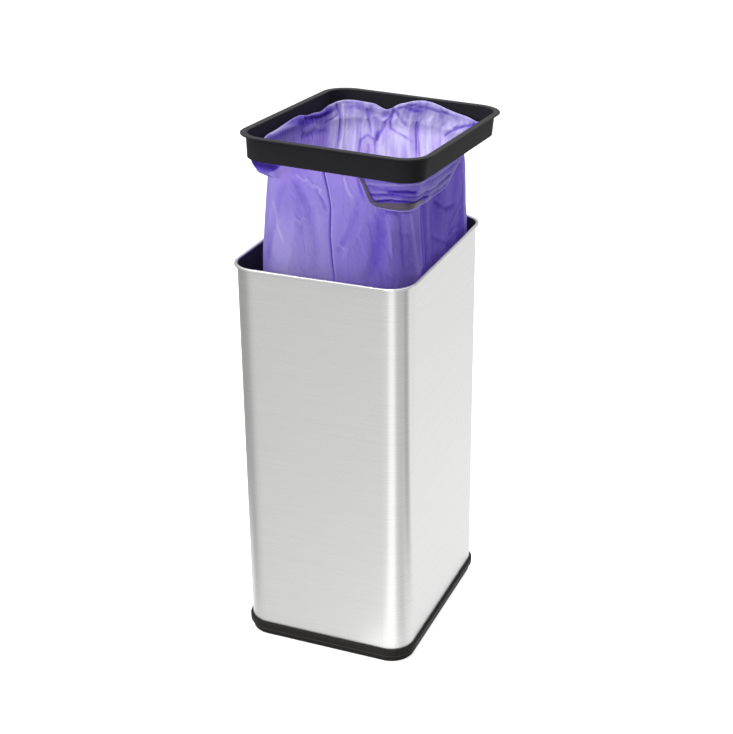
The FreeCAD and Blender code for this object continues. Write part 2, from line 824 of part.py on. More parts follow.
def main():
    pieces = [make_steel_body(), make_base_moulding(), make_floor_pan(), make_foot_pads(),
              make_base_screws(), make_bag_ring(), make_liner_bag(), make_drawtape()]
    doc.recompute()
    check_document()
    os.makedirs("parts", exist_ok=True)
    for piece in pieces:
        export(piece)


main()
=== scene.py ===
"""Looks of a tall steel trash can whose bag ring is lifted out with its violet bag."""

import math

import bpy
import numpy as np
from mathutils import Euler, Matrix, Vector, noise


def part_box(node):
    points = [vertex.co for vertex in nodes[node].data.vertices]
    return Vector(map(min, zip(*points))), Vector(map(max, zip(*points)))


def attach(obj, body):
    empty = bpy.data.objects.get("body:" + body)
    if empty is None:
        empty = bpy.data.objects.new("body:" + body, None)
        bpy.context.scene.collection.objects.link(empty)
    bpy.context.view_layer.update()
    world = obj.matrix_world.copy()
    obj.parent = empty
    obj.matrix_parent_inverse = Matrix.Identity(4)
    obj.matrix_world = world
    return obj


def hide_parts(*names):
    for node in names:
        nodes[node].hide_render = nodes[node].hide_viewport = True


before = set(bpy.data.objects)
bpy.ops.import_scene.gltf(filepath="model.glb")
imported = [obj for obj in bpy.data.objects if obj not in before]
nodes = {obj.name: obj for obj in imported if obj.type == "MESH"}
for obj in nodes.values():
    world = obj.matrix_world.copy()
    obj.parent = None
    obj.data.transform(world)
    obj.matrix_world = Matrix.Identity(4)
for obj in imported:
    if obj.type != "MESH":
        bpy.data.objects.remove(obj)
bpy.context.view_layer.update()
MM = 0.001

# The can and its lifted ring, in millimetres, as the solids have them
HALF_X, HALF_Y = 132.5, 161.0
SHEET = 0.6
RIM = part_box("steel_body")[1].z / MM
RING_HALF_X, RING_HALF_Y, RING_CORNER = 138.5, 167.0, 42.0
RING_WALL_OFF = 9.6
SKIRT_HEIGHT, SKIRT_DRAFT = 34.45, 2.0
RING_PLACE = Vector((28.88, -13.57, RIM + 184.32))
RING_TURN = Euler((math.radians(-2.327), math.radians(1.346), math.radians(-1.498)), "XYZ")
LOWER_TIER = 10.0
RIM_BEAD = 2.5

# Camera, in metres and degrees, with its lens in millimetres
AIM_HEIGHT = 0.3
CAMERA_AZIMUTH, CAMERA_RISE, CAMERA_ROLL = 22.645, 24.819, -0.596
CAMERA_DISTANCE = 2.39903
CAMERA_PAN, CAMERA_LIFT = 0.006163, 0.093461
LENS, SENSOR = 76.74, 36
FAR_CLIP = 30


def make_camera():
    """A long lens that looks down on the can's near corner."""
    turn, rise, roll = (math.radians(a) for a in (CAMERA_AZIMUTH, CAMERA_RISE, CAMERA_ROLL))
    right = Vector((math.cos(turn), math.sin(turn), 0))
    back = Vector((math.sin(turn) * math.cos(rise), -math.cos(turn) * math.cos(rise),
                   math.sin(rise)))
    up = back.cross(right)
    across = right * math.cos(roll) + up * math.sin(roll)
    upward = up * math.cos(roll) - right * math.sin(roll)
    aim = Vector((0, 0, AIM_HEIGHT)) + across * CAMERA_PAN + upward * CAMERA_LIFT
    place = aim + back * CAMERA_DISTANCE
    data = bpy.data.cameras.new("camera")
    data.lens = LENS
    data.sensor_width = SENSOR
    data.clip_end = FAR_CLIP
    camera = bpy.data.objects.new("camera", data)
    axes = Matrix((across, upward, back)).transposed().to_4x4()
    camera.matrix_world = Matrix.Translation(place) @ axes
    bpy.context.scene.collection.objects.link(camera)
    bpy.context.scene.camera = camera
    bpy.context.scene.view_settings.view_transform = "Standard"


# Materials
EVEN = (1.0, 1.0, 1.0)


class Nodes:
    """The node tree of a material or world, built by short calls."""

    def __init__(self, owner, output="OutputMaterial"):
        """Clear the owner's tree and give it its output."""
        self.owner = owner
        owner.use_nodes = True
        self.tree = owner.node_tree
        self.tree.nodes.clear()
        self.output = self.tree.nodes.new("ShaderNode" + output)

    def add(self, kind, inputs=None, **settings):
        """A new node with its settings, and with its inputs fed by name or number."""
        node = self.tree.nodes.new("ShaderNode" + kind)
        for key, setting in settings.items():
            setattr(node, key, setting)
        for key, given in (inputs or {}).items():
            self.feed(node.inputs[key], given)
        return node

    def feed(self, socket, given):
        """Link the socket, or set its value; one number does for a grey colour."""
        if socket.type == "RGBA" and isinstance(given, float):
            given = (given,) * 3
        if isinstance(given, bpy.types.NodeSocket):
            self.tree.links.new(given, socket)
        elif isinstance(given, tuple) and len(given) == 3 and socket.type == "RGBA":
            socket.default_value = (*given, 1)
        else:
            socket.default_value = given

    def math(self, operation, *terms, clamp=False):
        """A number worked out from numbers or sockets, held from 0 to 1 if clamped."""
        node = self.add("Math", dict(enumerate(terms)), operation=operation, use_clamp=clamp)
        return node.outputs[0]

    def vector(self, operation, *terms):
        """A vector worked out from vectors; a dot product or a length is a number."""
        places = (0, "Scale") if operation == "SCALE" else range(3)
        node = self.add("VectorMath", dict(zip(places, terms)), operation=operation)
        return node.outputs[1 if operation in ("DOT_PRODUCT", "LENGTH") else 0]

    def place(self):
        """Place on the piece, in metres."""
        return self.add("TexCoord").outputs["Object"]

    def noise(self, stretch, scale=1.0, detail=3.0, roughness=0.5):
        """Noise from 0 to 1, finer along an axis where its stretch is greater."""
        moved = self.vector("MULTIPLY", self.place(), stretch)
        node = self.add("TexNoise", {"Vector": moved, "Scale": scale, "Detail": detail,
                                     "Roughness": roughness})
        return node.outputs["Fac"]

    def ramp(self, factor, stops):
        """A colour by stops of position and colour, or position and grey level."""
        node = self.add("ValToRGB", {"Fac": factor})
        elements = node.color_ramp.elements
        while len(elements) < len(stops):
            elements.new(0.5)
        for element, (position, colour) in zip(elements, stops):
            element.position = position
            element.color = (*colour, 1) if isinstance(colour, tuple) else (colour,) * 3 + (1,)
        return node.outputs["Color"]

    def mix(self, factor, first, second):
        """The first colour where the factor is 0, the second where it is 1."""
        node = self.add("Mix", {"Factor": factor}, data_type="RGBA")
        self.feed(node.inputs[6], first)
        self.feed(node.inputs[7], second)
        return node.outputs[2]

    def between(self, factor, low, high, start=0.0, end=1.0):
        """A number that runs from low to high as the factor runs from start to end."""
        return self.add("MapRange", {0: factor, 1: start, 2: end, 3: low, 4: high}).outputs[0]

    def choose(self, factor, first, second):
        """The first number where the factor is 0, the second where it is 1."""
        return self.add("Mix", {0: factor, 2: first, 3: second}, data_type="FLOAT").outputs[0]

    def bump(self, height, distance, strength):
        """The surface's direction with a small relief; its distance is in metres."""
        return self.add("Bump", {"Height": height, "Distance": distance,
                                 "Strength": strength}).outputs[0]

    def finish(self, shader):
        """Send the shader to the output, and return the material or world."""
        self.tree.links.new(shader, self.output.inputs["Surface"])
        return self.owner


def material_nodes(name):
    """The empty tree of a new material."""
    return Nodes(bpy.data.materials.new(name))


def dress(piece, material):
    """Give the piece this one material."""
    piece.data.materials.clear()
    piece.data.materials.append(material)


def brushed_steel():
    """Horizontal hairline brushing outside; dark and matt on the inner faces below the rim's bead.
    """
    n = material_nodes("brushed_steel_sleeve")
    hair = n.noise((5.0, 5.0, 2600.0), roughness=0.6)
    fine = n.noise((22.0, 22.0, 7000.0), detail=2.0)
    cloud = n.noise((3.0, 3.0, 6.0))
    grain = n.math("ADD", n.math("MULTIPLY", hair, 0.6), n.math("MULTIPLY", fine, 0.4))
    colour = n.ramp(grain, [(0.30, (0.63, 0.63, 0.625)), (0.70, (0.77, 0.768, 0.762))])
    colour = n.mix(n.between(cloud, 0.0, 0.35), colour, (0.66, 0.66, 0.662))
    tangent = n.add("Tangent", direction_type="RADIAL", axis="Z").outputs[0]
    metal = n.add("BsdfPrincipled", {
        "Base Color": colour, "Metallic": 1.0, "Roughness": n.between(grain, 0.24, 0.32),
        "Anisotropic": 0.9, "Anisotropic Rotation": 0.25, "Tangent": tangent,
        "Normal": n.bump(grain, 0.00012, 0.3)})
    dark = n.add("BsdfPrincipled", {
        "Base Color": n.mix(cloud, (0.012, 0.012, 0.013), (0.020, 0.020, 0.022)),
        "Roughness": n.between(cloud, 0.55, 0.75), "Normal": n.bump(fine, 0.0001, 0.2)})
    geometry = n.add("NewGeometry")
    outward = n.vector("MULTIPLY", geometry.outputs["Position"], (1.0, 1.0, 0.0))
    facing = n.vector("DOT_PRODUCT", geometry.outputs["True Normal"], outward)
    inner = n.math("LESS_THAN", facing, 0.0)
    height = n.add("SeparateXYZ", {0: geometry.outputs["Position"]}).outputs["Z"]
    below = n.math("LESS_THAN", height, (RIM - RIM_BEAD) * MM)
    inside = n.math("MULTIPLY", inner, below)
    mixed = n.add("MixShader", {0: inside, 1: metal.outputs[0], 2: dark.outputs[0]})
    return n.finish(mixed.outputs[0])


def plain_steel():
    """Dull pressed steel, for the pan and the screws."""
    n = material_nodes("plain_steel")
    cloud = n.noise((40.0, 40.0, 40.0), detail=4.0)
    shader = n.add("BsdfPrincipled", {
        "Base Color": n.ramp(cloud, [(0.3, (0.50, 0.51, 0.52)), (0.7, (0.64, 0.64, 0.63))]),
        "Metallic": 1.0, "Roughness": n.between(cloud, 0.35, 0.5),
        "Normal": n.bump(cloud, 0.0001, 0.2)})
    return n.finish(shader.outputs[0])


# A painted highlight just below a tier's edge: its colour, its share, and in metres from that edge
# where it starts, is full and ends
EDGE_HIGHLIGHT_COLOUR = (0.13, 0.126, 0.118)
EDGE_HIGHLIGHT_SHARE = 0.75
EDGE_HIGHLIGHT_FROM, EDGE_HIGHLIGHT_FULL, EDGE_HIGHLIGHT_END = -0.0024, -0.0010, 0.0001
GRAIN_SPREAD = 0.08


def moulded_plastic(name, low, high, roughness, gloss, edge_gloss, edge=0.0):
    """Black plastic from low to high colour with a satin grain and glossier upward faces.

    A thin paler band, a painted highlight, lies just below the height given as its edge.
    """
    n = material_nodes(name)
    grain = n.noise(EVEN, 1800.0, detail=2.0)
    cloud = n.noise(EVEN, 14.0)
    geometry = n.add("NewGeometry").outputs
    upward = n.add("SeparateXYZ", {0: geometry["Normal"]}).outputs["Z"]
    height = n.add("SeparateXYZ", {0: geometry["Position"]}).outputs["Z"]
    # painted highlight in a thin band just below the edge
    highlight_rising = n.between(height, 0.0, EDGE_HIGHLIGHT_SHARE, edge + EDGE_HIGHLIGHT_FROM, edge + EDGE_HIGHLIGHT_FULL)
    edge_highlight = n.math("MULTIPLY", highlight_rising, n.math("LESS_THAN", height, edge + EDGE_HIGHLIGHT_END))
    satin = n.math("ADD", n.math("MULTIPLY", grain, 0.5), n.math("MULTIPLY", cloud, 0.5))
    shader = n.add("BsdfPrincipled", {
        "Base Color": n.mix(edge_highlight, n.mix(cloud, low, high), EDGE_HIGHLIGHT_COLOUR),
        "Roughness": n.between(satin, roughness - GRAIN_SPREAD, roughness + GRAIN_SPREAD),
        "Specular IOR Level": n.between(upward, gloss, edge_gloss, 0.2, 0.6),
        "Normal": n.bump(grain, 0.00006, 0.5)})
    return n.finish(shader.outputs[0])


# Colours of the film as it scatters light, and as it lets light through: plain ones, painted shade,
# deep painted shade and painted light
FILM_PALE, FILM_FULL = (0.190, 0.148, 0.47), (0.300, 0.256, 0.63)
FILM_PAINTED_SHADE, FILM_DEEP_PAINTED_SHADE, FILM_PAINTED_LIGHT = (0.100, 0.050, 0.56), (0.034, 0.021, 0.125), (0.66, 0.62, 0.93)
GLOW_PLAIN, GLOW_PAINTED_SHADE, GLOW_PAINTED_LIGHT = (0.40, 0.28, 0.80), (0.08, 0.04, 0.34), (0.76, 0.71, 0.95)
SHARE_THROUGH = 0.42
CRINKLE_DEPTH = 0.0014


def violet_film():
    """Thin film that scatters light and lets some through, with painted shade and painted light
    from two attributes of its points.
    """
    n = material_nodes("violet_film")
    cloud = n.noise((1.0, 1.0, 0.6), 18.0, detail=4.0)
    streak = n.noise((90.0, 90.0, 14.0))
    blend = n.math("ADD", n.math("MULTIPLY", cloud, 0.6), n.math("MULTIPLY", streak, 0.4))
    # painted shade and painted light kept on each point, painted shade below 0
    painted_shading = n.add("Attribute", attribute_name="painted_shading").outputs["Fac"]
    pale = n.ramp(blend, [(0.3, FILM_PALE), (0.7, FILM_FULL)])
    # painted light on the bag's inner face, in streaks of painted highlight
    painted_inner_light = n.add("Attribute", attribute_name="painted_inner_light").outputs["Fac"]
    inner = n.math("SUBTRACT", 1.0, n.add("NewGeometry").outputs["Backfacing"])
    painted_light_streaks = n.between(streak, 0.5, 1.5, 0.35, 0.65)
    painted_inner_light = n.math("MULTIPLY", n.math("MULTIPLY", painted_inner_light, inner), painted_light_streaks)
    painted_shading = n.math("ADD", painted_shading, painted_inner_light)
    shade = n.math("MULTIPLY", painted_shading, -1.0, clamp=True)
    light = n.math("MULTIPLY", painted_shading, 1.0, clamp=True)
    # painted shade and painted light mixed into the film's colour
    colour = n.mix(n.between(shade, 0.0, 1.0, 0.0, 0.7), pale, FILM_PAINTED_SHADE)
    colour = n.mix(n.between(shade, 0.0, 1.0, 0.6, 1.0), colour, FILM_DEEP_PAINTED_SHADE)
    colour = n.mix(light, colour, FILM_PAINTED_LIGHT)
    # the light let through takes the same painted shade and painted light
    glow = n.mix(light, n.mix(shade, GLOW_PLAIN, GLOW_PAINTED_SHADE), GLOW_PAINTED_LIGHT)
    wander = n.add("TexNoise", {"Vector": n.place(), "Scale": 30.0, "Detail": 2.0})
    cells = n.vector("ADD", n.vector("MULTIPLY", n.place(), (46.0, 46.0, 24.0)),
                     wander.outputs["Color"])
    crinkle = n.add("TexVoronoi", {"Vector": cells}, feature="F1").outputs["Distance"]
    fine = n.noise((1.0, 1.0, 0.8), 420.0)
    relief = n.math("ADD", n.math("MULTIPLY", crinkle, 0.8), n.math("MULTIPLY", fine, 0.2))
    normal = n.bump(relief, CRINKLE_DEPTH, 0.5)
    film = n.add("BsdfPrincipled", {
        "Base Color": colour, "Roughness": n.between(blend, 0.26, 0.36),
        "Specular IOR Level": n.between(shade, 0.16, 0.02, 0.0, 0.6), "Normal": normal})
    through = n.add("BsdfTranslucent", {"Color": glow, "Normal": normal})
    mixed = n.add("MixShader", {0: SHARE_THROUGH, 1: film.outputs[0], 2: through.outputs[0]})
    return n.finish(mixed.outputs[0])


def woven_tape():
    """The flat plastic tape, seen through its slit."""
    n = material_nodes("draw_tape")
    line = n.noise((60.0, 60.0, 900.0), detail=2.0)
    shader = n.add("BsdfPrincipled", {
        "Base Color": n.ramp(line, [(0.3, (0.050, 0.036, 0.080)), (0.7, (0.110, 0.080, 0.125))]),
        "Roughness": n.between(line, 0.4, 0.55), "Normal": n.bump(line, 0.0001, 0.3)})
    return n.finish(shader.outputs[0])


def rubber():
    """Matt black rubber, for the pads."""
    n = material_nodes("black_rubber")
    grain = n.noise(EVEN, 900.0)
    shader = n.add("BsdfPrincipled", {
        "Base Color": n.ramp(grain, [(0.3, 0.018), (0.7, 0.03)]),
        "Roughness": n.between(grain, 0.75, 0.9), "Normal": n.bump(grain, 0.0001, 0.4)})
    return n.finish(shader.outputs[0])


# The bag's form, by the angle round the ring in degrees; lengths in millimetres
FILM_GAP = 0.9
FOLD_DROP, FOLD_STANDOFF_BASE = 16.0, 7.0
FOLD_HALF, FOLD_CURL, FOLD_CREST = 1.5, 0.6, 1.0

# Humps of the fold's height and of its distance from the ring: angle, half width and size
FOLD_WAVES = [
    (84, 24, 13.5), (106.5, 8, -6.5), (124, 14, 2.0), (147, 10, -3.0), (180, 34, 5.0),
    (48, 14, -5.0), (290, 60, 3.0), (161, 15, -3.2),
]
FOLD_STANDOFF = [(50, 16, 13.0), (230, 16, 9.0), (128, 20, 5.0), (147, 10, 3.0)]

# Gathers of the film: waves round the bag, phase and share of the depth
GATHERS = [(9, 0.6, 0.6), (14, 2.1, 0.4)]
GATHER_DEPTH, THROAT_GATHER = 2.6, 0.7

# The hem's depth in the ring, and where it hangs lower: start, end, ramp in and ramp out
TUCKED_HEM, FRONT_CUFF, CORNER_CUFF, CUFF_TIP = 27.0, 50.0, 22.0, 14.0
FRONT_SPAN, CORNER_SPAN = (290, 370, 8, 28), (212, 246, 16, 15)
TIP_ANGLE, TIP_HALF_WIDTH = 235.5, 4.5

# How the cuff draws in below the skirt, and more so at the left corner; its lines up to the fold
CUFF_PULL, CUFF_TUCK = 0.28, 12.0
TUCK_ANGLE, TUCK_HALF_WIDTH = 231, 25
CUFF_SHARES = (0.0, 0.12, 0.3, 0.45, 0.6, 0.72, 0.85, 0.94)

# The throat under the ring and the bag's body in the can
THROAT_DROP, THROAT_INSET, THROAT_RADIUS = 38.0, 19.4, 55.0
THROAT_SHIFT_X, THROAT_SHIFT_Y = -9.5, 3.0
BAG_SIDE_GAP, BAG_END_GAP, BAG_RADIUS = 15.4, 21.4, 43.0
BAG_SHIFT_X, BAG_SHIFT_Y = 10.0, -2.5
BAG_FOOT, BAG_FOOT_RADIUS = 24.1, 26.0

# The film's other lines, as shares of the way down to the throat and to the can's rim, then of
# the body's height with the gathers' share there, and of the foot's radius
LIP_TO_THROAT, THROAT_TO_RIM = 0.6, (0.3, 0.65, 1.0)
BODY_LINES = ((0.6, 0.9), (0.25, 0.7))
FOOT_RIPPLE, FOOT_INSETS = 0.3, (0.25, 1.6)


def bump_at(angle, centre, half_width):
    """A smooth hump over the angle, 1 at its centre and 0 beyond its half width."""
    away = np.abs((angle - centre + 180) % 360 - 180)
    return np.where(away < half_width, np.cos(np.pi / 2 * away / half_width) ** 2, 0.0)


def smooth(share):
    """A share from 0 to 1, eased at both ends."""
    share = np.clip(share, 0, 1)
    return share * share * (3 - 2 * share)


def stretch(angle, start, end, ramp_in, ramp_out):
    """A smooth plateau over the angle, half way up at start and at end."""
    middle, half = (start + end) / 2, (end - start) / 2
    away = (angle - middle + 180) % 360 - 180
    return smooth((away + half) / ramp_in + 0.5) * smooth((half - away) / ramp_out + 0.5)


def waves(angle, table):
    """The sum of a table's humps at each angle."""
    return sum(size * bump_at(angle, at, wide) for at, wide, size in table)


def fold_drop(angle):
    """Depth in the ring of the fold's crest."""
    return FOLD_DROP - waves(angle, FOLD_WAVES)


def fold_inset(angle):
    """Distance of the fold's crest from the ring's wall."""
    return FOLD_STANDOFF_BASE + waves(angle, FOLD_STANDOFF)


def hem_drop(angle):
    """Depth in the ring of the bag's hem."""
    return (TUCKED_HEM + FRONT_CUFF * stretch(angle, *FRONT_SPAN)
            + CORNER_CUFF * stretch(angle, *CORNER_SPAN)
            + CUFF_TIP * bump_at(angle, TIP_ANGLE, TIP_HALF_WIDTH))


def gather(angle):
    """How far the gathered film stands out at each angle."""
    turn = np.radians(angle)
    return GATHER_DEPTH * sum(share * np.sin(count * turn + phase)
                              for count, phase, share in GATHERS)


def loop_reach(angle, half_x, half_y, radius):
    """Distance from the middle to a rounded rectangle, along each direction."""
    turn = np.radians(angle)
    across, along = np.abs(np.cos(turn)), np.abs(np.sin(turn))
    centre_x, centre_y = half_x - radius, half_y - radius
    toward = across * centre_x + along * centre_y
    spare = centre_x ** 2 + centre_y ** 2 - radius ** 2
    round_corner = toward + np.sqrt(np.maximum(toward ** 2 - spare, 0))
    flat_x = half_x / np.maximum(across, 1e-9)
    flat_y = half_y / np.maximum(along, 1e-9)
    reach = np.where(half_x * along <= centre_y * across, flat_x, round_corner)
    return np.where(half_y * across <= centre_x * along, flat_y, reach)


def polar(angle, reach, height, shift_x=0.0, shift_y=0.0):
    """Points at each angle, by their distance from a shifted middle line and their height."""
    turn = np.radians(angle)
    height = np.broadcast_to(height, angle.shape)
    return np.stack([shift_x + reach * np.cos(turn), shift_y + reach * np.sin(turn), height], 1)


def from_ring(points):
    """Points of the ring's own frame, put where the lifted ring is."""
    turn = np.array(RING_TURN.to_matrix())
    return points @ turn.T + np.array(RING_PLACE)


def ring_point(angle, drop, inset):
    """Points inside the ring, by their depth in it and their distance from its wall."""
    draft = SKIRT_DRAFT * np.clip(drop / SKIRT_HEIGHT, 0, 1)
    off = RING_WALL_OFF + draft + inset
    radius = np.maximum(RING_CORNER - off, (RING_HALF_X - off) / 10)
    reach = loop_reach(angle, RING_HALF_X - off, RING_HALF_Y - off, radius)
    return from_ring(polar(angle, reach, -drop))


def cuff_rows(angle):
    """Hem to fold: the outer layer of the folded mouth."""
    top, inset, bottom = fold_drop(angle), fold_inset(angle), hem_drop(angle)
    span = bottom - top - 2 * FOLD_HALF
    rows = []
    for share in CUFF_SHARES:
        drop = bottom - span * share
        hanging = np.maximum(drop - SKIRT_HEIGHT, 0)
        tuck = bump_at(angle, TUCK_ANGLE, TUCK_HALF_WIDTH) * hanging / CUFF_TUCK
        hug = FILM_GAP + hanging * CUFF_PULL * (1 + tuck)
        bend = share ** 3
        rows.append(ring_point(angle, drop, hug * (1 - bend) + (inset - FOLD_HALF) * bend))
    rows.append(ring_point(angle, top + FOLD_CURL, inset - FOLD_HALF))
    rows.append(ring_point(angle, top - FOLD_CREST, inset))
    rows.append(ring_point(angle, top + FOLD_CURL, inset + FOLD_HALF))
    return rows


def throat_point(angle):
    """The bag's narrow line just under the ring."""
    off = RING_WALL_OFF + SKIRT_DRAFT + THROAT_INSET
    reach = loop_reach(angle, RING_HALF_X - off, RING_HALF_Y - off, THROAT_RADIUS)
    return from_ring(polar(angle, reach + THROAT_GATHER * gather(angle), -THROAT_DROP,
                           THROAT_SHIFT_X, THROAT_SHIFT_Y))


def bag_point(angle, height, inset, ripple):
    """Points of the bag's body, drawn in by the inset, with a share of the gathers."""
    half_x = HALF_X - SHEET - BAG_SIDE_GAP - inset
    half_y = HALF_Y - SHEET - BAG_END_GAP - inset
    reach = loop_reach(angle, half_x, half_y, BAG_RADIUS - inset / 2) + ripple * gather(angle)
    rise = (height - BAG_FOOT) / (RIM - BAG_FOOT)
    return polar(angle, reach, height, BAG_SHIFT_X * rise, BAG_SHIFT_Y * rise)


def film_rows(angle):
    """The film's lines round the bag, from the hem up over the fold and down to the foot."""
    rows = cuff_rows(angle)
    lip = ring_point(angle, fold_drop(angle) + 3 * FOLD_HALF,
                     fold_inset(angle) + 1.5 * FOLD_HALF)
    throat = throat_point(angle)
    rim = bag_point(angle, RIM, 0, 1.0)
    rows += [lip, lip * (1 - LIP_TO_THROAT) + throat * LIP_TO_THROAT, throat]
    rows += [throat * (1 - share) + rim * share for share in THROAT_TO_RIM]
    height = RIM - BAG_FOOT
    rows += [bag_point(angle, BAG_FOOT + height * share, 0, ripple)
             for share, ripple in BODY_LINES]
    rows.append(bag_point(angle, BAG_FOOT + BAG_FOOT_RADIUS, 0, FOOT_RIPPLE))
    rows += [bag_point(angle, BAG_FOOT, BAG_FOOT_RADIUS * inset, 0.0) for inset in FOOT_INSETS]
    return rows


# Columns round the film, and how many fine rows follow each of its lines
ANGLES = 720
ROWS_PER_STEP = [4] * 7 + [2, 2, 2, 3, 6, 5, 20, 23, 23, 8, 6, 4, 3, 2]
CREST_ROW = sum(ROWS_PER_STEP[:9])


def refined(rows):
    """Smooth lines between the given ones, by a cubic through each column's points."""
    fine = []
    for index, count in enumerate(ROWS_PER_STEP):
        before, first = rows[max(index - 1, 0)], rows[index]
        second, after = rows[index + 1], rows[min(index + 2, len(rows) - 1)]
        span = np.linalg.norm(second - first, axis=1, keepdims=True)
        ahead = np.linalg.norm(after - second, axis=1, keepdims=True) + 1e-6
        behind = np.linalg.norm(first - before, axis=1, keepdims=True) + 1e-6
        start = (second - before) * span / (span + behind)
        end = (after - first) * span / (span + ahead)
        for step in range(count):
            t = step / count
            fine.append(first * (2 * t ** 3 - 3 * t * t + 1) + start * (t ** 3 - 2 * t * t + t)
                        + second * (3 * t * t - 2 * t ** 3) + end * (t ** 3 - t * t))
    fine.append(rows[-1])
    return np.array(fine)


def grid_normals(grid):
    """Outward direction at each point of the film's grid."""
    around = np.roll(grid, -1, axis=1) - np.roll(grid, 1, axis=1)
    down = np.gradient(grid, axis=0)
    normal = np.cross(down, around)
    return normal / np.maximum(np.linalg.norm(normal, axis=2, keepdims=True), 1e-9)


# Creases in the film: a path, then its width, its rise outward and its painted shade or highlight,
# painted shade below 0.
# Paths run by angle and height on the bag's body, and by angle and depth in the ring on its cuff.
BODY_CREASES = [
    ([(267, 760), (270, 732), (272, 706), (271.5, 665), (273, 626), (277, 560)], 1.5, -2.8, -1.0),
    ([(268.3, 760), (271.3, 732), (273.3, 706), (272.8, 665), (274.3, 626), (278.3, 560)],
     1.6, 1.6, 0.3),
    ([(301, 710), (299, 672), (297, 639), (292, 590)], 7.0, -3.4, -0.22),
    ([(306, 700), (304, 660), (303, 590)], 6.0, 2.0, 0.05),
    ([(316.5, 700), (318, 658), (318.7, 632), (319, 590)], 2.0, 1.6, 0.25),
    ([(320, 760), (321, 658), (321.5, 590)], 6.5, 4.5, 0.0),
    ([(329, 740), (330, 650), (331, 590)], 6.0, -2.4, -0.15),
    ([(288.3, 754), (289.6, 740), (292, 722)], 1.8, -1.5, -0.5),
    ([(234.5, 620), (238, 668), (242, 715), (246, 745)], 5.0, -2.4, -0.15),
    ([(246, 600), (250, 650), (251, 700)], 7.0, 2.2, 0.05),
    ([(252, 735), (259, 700), (263, 650), (263, 600)], 6.0, -2.2, -0.12),
    ([(277, 645), (283, 672), (288, 705), (290, 740)], 3.6, -2.4, -0.18),
    ([(281, 640), (288, 668), (293, 700)], 4.0, 1.8, 0.08),
    ([(277.3, 652), (281.5, 648)], 1.6, 1.6, 0.35),
    ([(263, 728), (267, 712), (270, 697)], 2.4, -1.8, -0.25),
    ([(258, 742), (265, 722)], 2.0, 1.2, 0.12),
    ([(251.5, 683), (254.7, 676), (256, 686), (258, 678)], 1.2, 1.1, 0.22),
    ([(262, 733), (266, 728), (264.5, 722), (268.5, 716)], 1.0, 1.0, 0.4),
    ([(252, 745), (256, 738), (259, 741)], 1.0, 1.0, 0.4),
    ([(238, 700), (241, 670), (246, 640)], 2.4, 1.6, 0.25),
    ([(281, 752), (283, 735), (286, 722)], 1.8, 1.4, 0.3),
    ([(303, 700), (304.5, 670), (305, 640)], 1.6, 1.2, 0.3),
    ([(40, 700), (40, 655), (41, 600)], 2.6, 1.0, 0.6),
    ([(223, 740), (224, 690), (226, 610)], 2.0, 1.2, 0.35),
    ([(310, 700), (311, 660), (311, 620)], 2.4, -1.6, -0.25),
    ([(303, 706), (312, 704), (318, 700)], 1.6, -1.4, -0.4),
    ([(18, 634), (30, 644), (38, 652)], 2.2, 1.6, 0.2),
    ([(6, 612), (20, 624), (36, 614)], 2.6, 1.5, 0.15),
    ([(345, 640), (0, 622), (16, 608)], 4.0, -1.8, -0.1),
    ([(350, 690), (8, 668), (30, 660)], 4.0, -2.0, -0.12),
    ([(340, 700), (346, 650), (350, 600)], 5.0, 1.8, 0.05),
    ([(83.3, 752), (82.4, 725), (82, 690)], 1.3, 2.2, -1.0),
    ([(82.3, 757), (80.6, 725), (79.8, 690)], 1.1, -1.6, -0.6),
    ([(102.7, 766), (102.7, 753), (104, 739), (107.3, 724), (109, 712)], 2.4, 2.4, -0.85),
    ([(107, 730), (108.5, 716)], 3.6, 1.6, -0.6),
    ([(102, 762), (99.3, 738), (92, 729), (84, 720)], 1.8, 2.2, -0.8),
    ([(101, 764), (96, 756), (92, 749), (86.7, 741)], 1.5, 1.8, -0.65),
    ([(100, 767), (95.3, 771), (89.3, 768), (83.3, 767)], 1.3, 1.4, -0.9),
    ([(94, 774), (88.7, 775), (80, 772), (71.3, 769), (64.7, 763)], 1.3, 1.4, -0.9),
    ([(61.3, 751), (56.7, 756), (50.7, 763)], 1.6, 1.8, -0.9),
    ([(64, 738), (60, 748), (56.5, 755)], 1.8, 1.8, -0.8),
    ([(116.7, 762), (112.7, 745), (110.7, 724)], 1.5, 1.8, -0.75),
    ([(115.3, 758), (109.3, 752), (104, 757)], 5.0, 1.8, -0.35),
    ([(118.5, 690), (117.3, 716), (113.3, 725), (109.5, 718), (108, 690)], 1.8, 2.0, -0.7),
    ([(112.7, 709), (112.7, 692)], 1.6, 1.4, -0.6),
    ([(132.7, 770), (129.5, 756), (129.3, 738), (129.5, 690)], 2.0, 2.8, -0.85),
    ([(128.7, 767), (127.3, 744), (127.5, 719), (128, 695)], 1.4, -2.2, 0.5),
    ([(168.7, 775), (152, 767), (137.3, 762), (132.7, 766)], 3.0, 2.2, -0.6),
    ([(140.7, 751), (134, 753), (130.7, 757)], 1.8, 1.8, -0.5),
    ([(175.3, 751), (156, 747), (140, 739), (135.3, 726)], 3.6, 2.4, -0.4),
    ([(213.3, 781), (204.7, 780), (192, 775), (177.3, 770)], 5.0, -2.4, 0.45),
    ([(172, 757), (158, 757), (146, 748)], 4.0, -2.0, 0.3),
    ([(123, 764), (120, 735), (121, 690)], 1.6, -1.8, 0.35),
    ([(116, 742), (116, 700)], 1.4, -1.6, 0.3),
    ([(98, 752), (95, 735), (96, 700)], 3.4, -2.0, 0.3),
    ([(89, 762), (87, 750), (86.5, 735)], 3.0, -2.0, 0.35),
    ([(76, 758), (73, 735), (75, 700)], 4.0, -2.0, 0.25),
    ([(68, 752), (66, 735), (68, 710)], 3.0, 2.0, -0.2),
]
